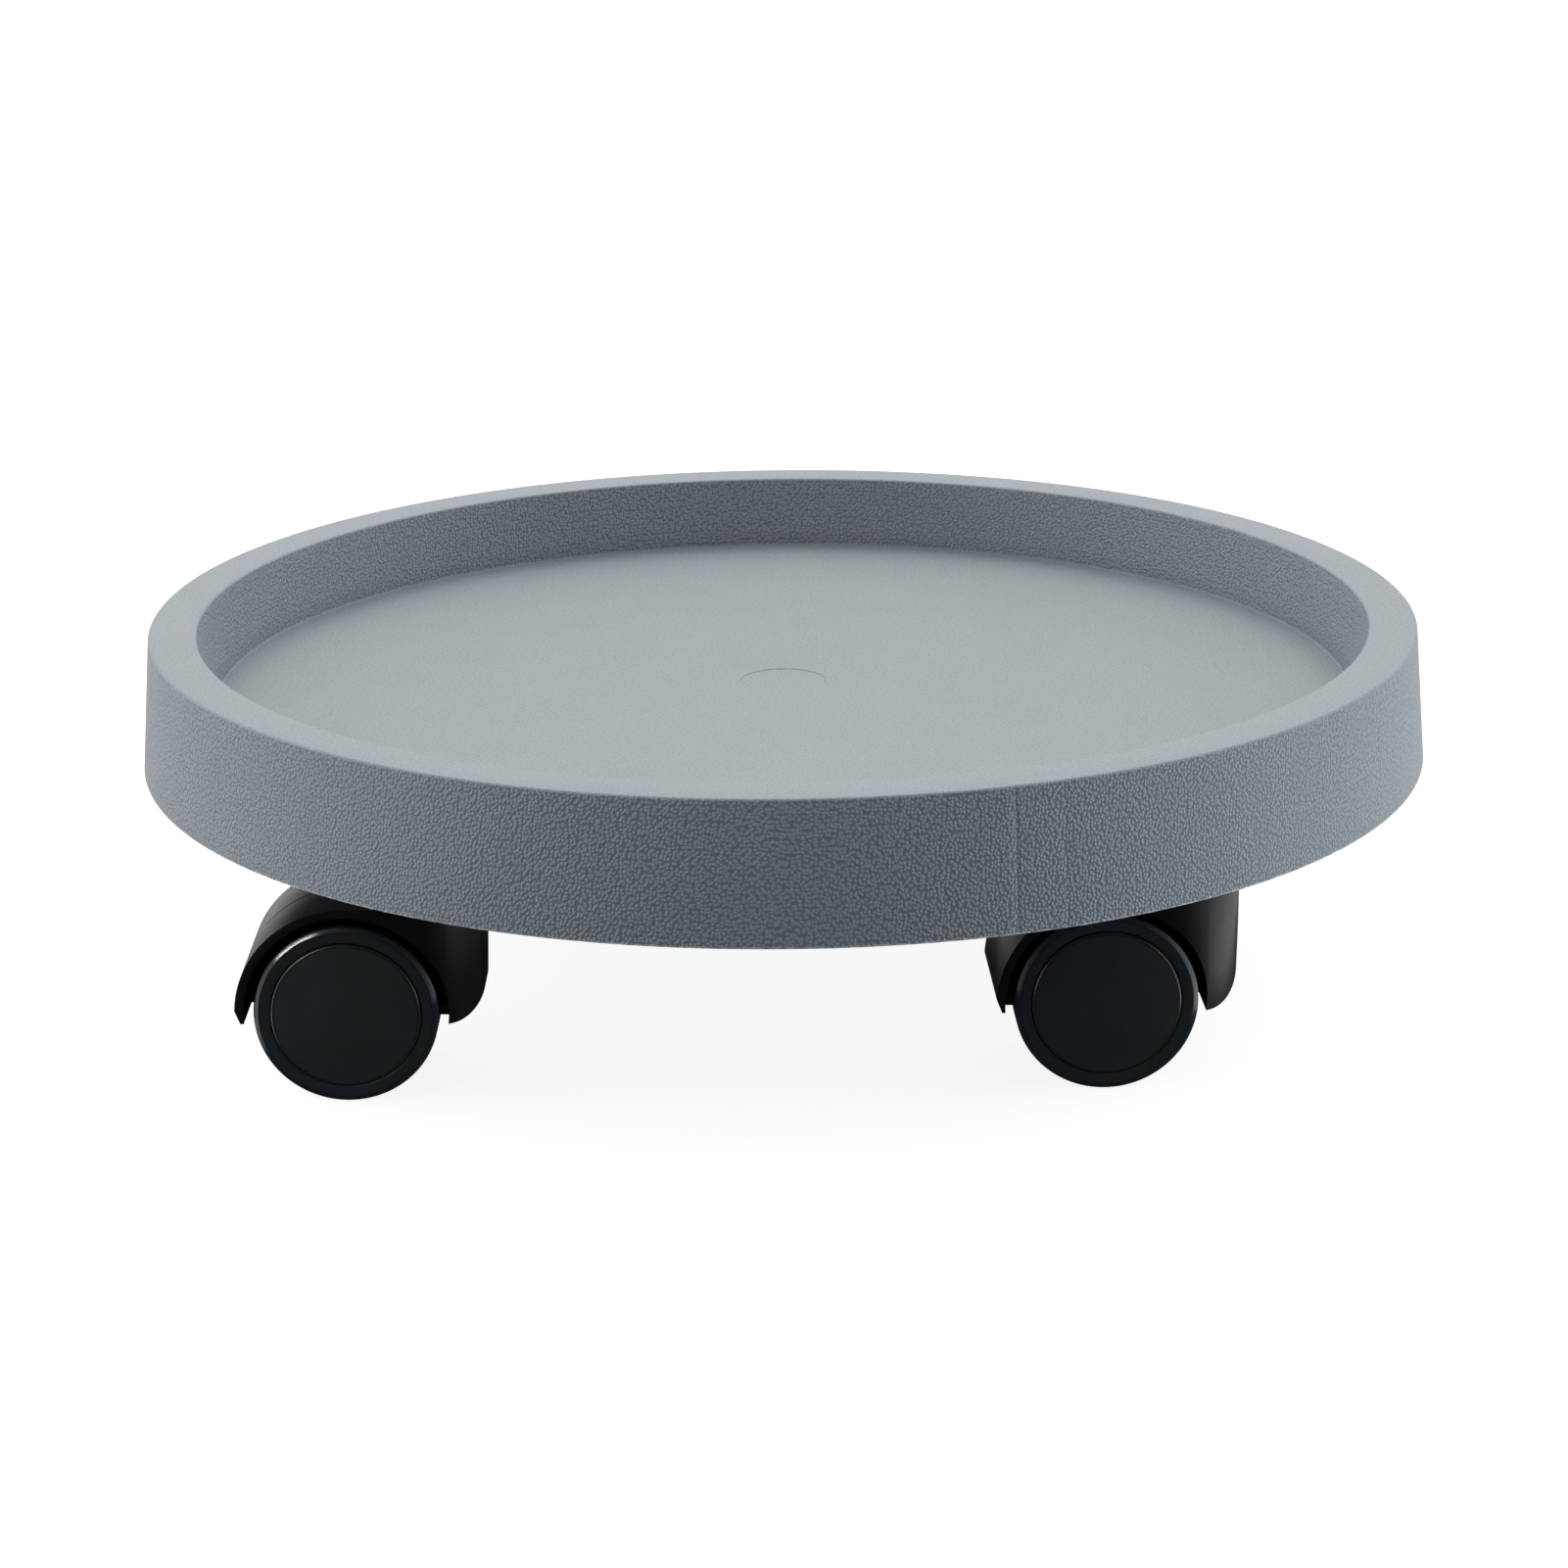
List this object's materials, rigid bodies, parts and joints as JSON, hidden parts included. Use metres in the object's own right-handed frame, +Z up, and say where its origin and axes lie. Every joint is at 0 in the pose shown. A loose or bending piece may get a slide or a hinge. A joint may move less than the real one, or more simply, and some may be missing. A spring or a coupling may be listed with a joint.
{
  "type": "plant pot caddy",
  "caption": "Round plant pot caddy: a shallow moulded tray with a raised rim on hooded twin-wheel swivel castors.",
  "frame": {"origin": "on the ground, below the middle of the tray", "axes": "+Z up; -Y towards the front view; +X to the right of the front view"},
  "size_m": [0.3, 0.3, 0.0834],
  "materials": {
    "tray_plastic": "matt moulded grain",
    "housing_plastic": "satin moulded",
    "wheel_plastic": "satin moulded",
    "cap_plastic": "fine matt moulded",
    "sleeve_plastic": "natural nylon",
    "zinc_steel": "zinc plated"
  },
  "bodies": {
    "caddy_base": {"tray": "tray_plastic", "front_left_socket_sleeve": "sleeve_plastic", "front_left_stem": "zinc_steel", "front_left_grip_ring": "zinc_steel", "front_left_swivel_washer": "zinc_steel", "front_right_socket_sleeve": "sleeve_plastic", "front_right_stem": "zinc_steel", "front_right_grip_ring": "zinc_steel", "front_right_swivel_washer": "zinc_steel", "back_right_socket_sleeve": "sleeve_plastic", "back_right_stem": "zinc_steel", "back_right_grip_ring": "zinc_steel", "back_right_swivel_washer": "zinc_steel", "back_left_socket_sleeve": "sleeve_plastic", "back_left_stem": "zinc_steel", "back_left_grip_ring": "zinc_steel", "back_left_swivel_washer": "zinc_steel"},
    "front_left_castor": {"front_left_housing": "housing_plastic", "front_left_axle": "zinc_steel"},
    "front_left_roller_a": {"front_left_wheel_a": "wheel_plastic", "front_left_wheel_cap_a": "cap_plastic"},
    "front_left_roller_b": {"front_left_wheel_b": "wheel_plastic", "front_left_wheel_cap_b": "cap_plastic"},
    "front_right_castor": {"front_right_housing": "housing_plastic", "front_right_axle": "zinc_steel"},
    "front_right_roller_a": {"front_right_wheel_a": "wheel_plastic", "front_right_wheel_cap_a": "cap_plastic"},
    "front_right_roller_b": {"front_right_wheel_b": "wheel_plastic", "front_right_wheel_cap_b": "cap_plastic"},
    "back_right_castor": {"back_right_housing": "housing_plastic", "back_right_axle": "zinc_steel"},
    "back_right_roller_a": {"back_right_wheel_a": "wheel_plastic", "back_right_wheel_cap_a": "cap_plastic"},
    "back_right_roller_b": {"back_right_wheel_b": "wheel_plastic", "back_right_wheel_cap_b": "cap_plastic"},
    "back_left_castor": {"back_left_housing": "housing_plastic", "back_left_axle": "zinc_steel"},
    "back_left_roller_a": {"back_left_wheel_a": "wheel_plastic", "back_left_wheel_cap_a": "cap_plastic"},
    "back_left_roller_b": {"back_left_wheel_b": "wheel_plastic", "back_left_wheel_cap_b": "cap_plastic"}
  },
  "joints": [
    {"name": "front_left_swivel", "type": "hinge", "parent": "caddy_base", "child": "front_left_castor", "pos_m": [-0.08014, -0.08386, 0.0441], "axis": [0, 0, 1], "continuous": true},
    {"name": "front_left_roll_a", "type": "hinge", "parent": "front_left_castor", "child": "front_left_roller_a", "pos_m": [-0.09504, -0.08386, 0.02], "axis": [0, 1, 0], "continuous": true},
    {"name": "front_left_roll_b", "type": "hinge", "parent": "front_left_castor", "child": "front_left_roller_b", "pos_m": [-0.09504, -0.08386, 0.02], "axis": [0, 1, 0], "continuous": true},
    {"name": "front_right_swivel", "type": "hinge", "parent": "caddy_base", "child": "front_right_castor", "pos_m": [0.08386, -0.08014, 0.0441], "axis": [0, 0, 1], "continuous": true},
    {"name": "front_right_roll_a", "type": "hinge", "parent": "front_right_castor", "child": "front_right_roller_a", "pos_m": [0.06897, -0.08066, 0.02], "axis": [-0.0349, 0.9994, 0], "continuous": true},
    {"name": "front_right_roll_b", "type": "hinge", "parent": "front_right_castor", "child": "front_right_roller_b", "pos_m": [0.06897, -0.08066, 0.02], "axis": [-0.0349, 0.9994, 0], "continuous": true},
    {"name": "back_right_swivel", "type": "hinge", "parent": "caddy_base", "child": "back_right_castor", "pos_m": [0.08014, 0.08386, 0.0441], "axis": [0, 0, 1], "continuous": true},
    {"name": "back_right_roll_a", "type": "hinge", "parent": "back_right_castor", "child": "back_right_roller_a", "pos_m": [0.06528, 0.08282, 0.02], "axis": [-0.0698, 0.9976, 0], "continuous": true},
    {"name": "back_right_roll_b", "type": "hinge", "parent": "back_right_castor", "child": "back_right_roller_b", "pos_m": [0.06528, 0.08282, 0.02], "axis": [-0.0698, 0.9976, 0], "continuous": true},
    {"name": "back_left_swivel", "type": "hinge", "parent": "caddy_base", "child": "back_left_castor", "pos_m": [-0.08386, 0.08014, 0.0441], "axis": [0, 0, 1], "continuous": true},
    {"name": "back_left_roll_a", "type": "hinge", "parent": "back_left_castor", "child": "back_left_roller_a", "pos_m": [-0.09874, 0.08092, 0.02], "axis": [0.0523, 0.9986, 0], "continuous": true},
    {"name": "back_left_roll_b", "type": "hinge", "parent": "back_left_castor", "child": "back_left_roller_b", "pos_m": [-0.09874, 0.08092, 0.02], "axis": [0.0523, 0.9986, 0], "continuous": true}
  ]
}
